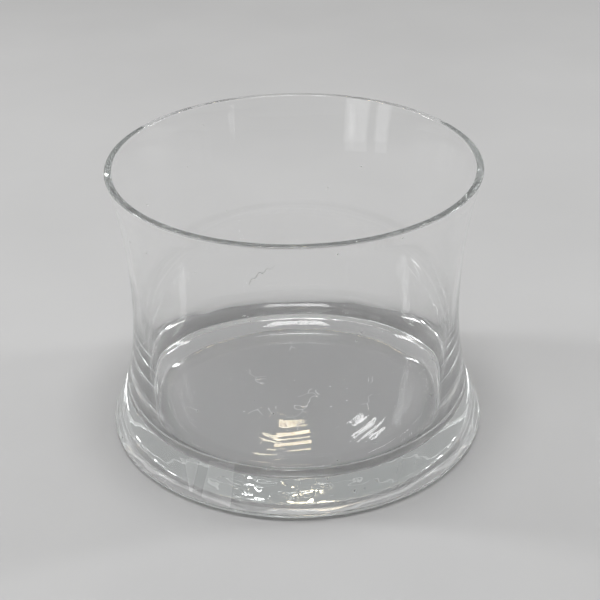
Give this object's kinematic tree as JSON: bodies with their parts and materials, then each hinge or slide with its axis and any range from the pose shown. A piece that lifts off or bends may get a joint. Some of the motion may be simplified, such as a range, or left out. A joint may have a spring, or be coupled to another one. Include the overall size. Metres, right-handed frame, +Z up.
{
  "type": "mixing glass",
  "caption": "Wide waisted glass vessel with an open mouth, thick base and flared foot, for stirring and chilling drinks over ice.",
  "frame": {"origin": "centre of the flat underside, where the glass stands on a surface", "axes": "+Z up along the axis of the glass; X and Y are interchangeable, because the glass is round"},
  "size_m": [0.1374, 0.1374, 0.1013],
  "materials": {
    "glass": "clear, fire-polished, with light wear on the inner floor"
  },
  "bodies": {
    "root": {"bowl": "glass", "foot": "glass"}
  },
  "joints": []
}
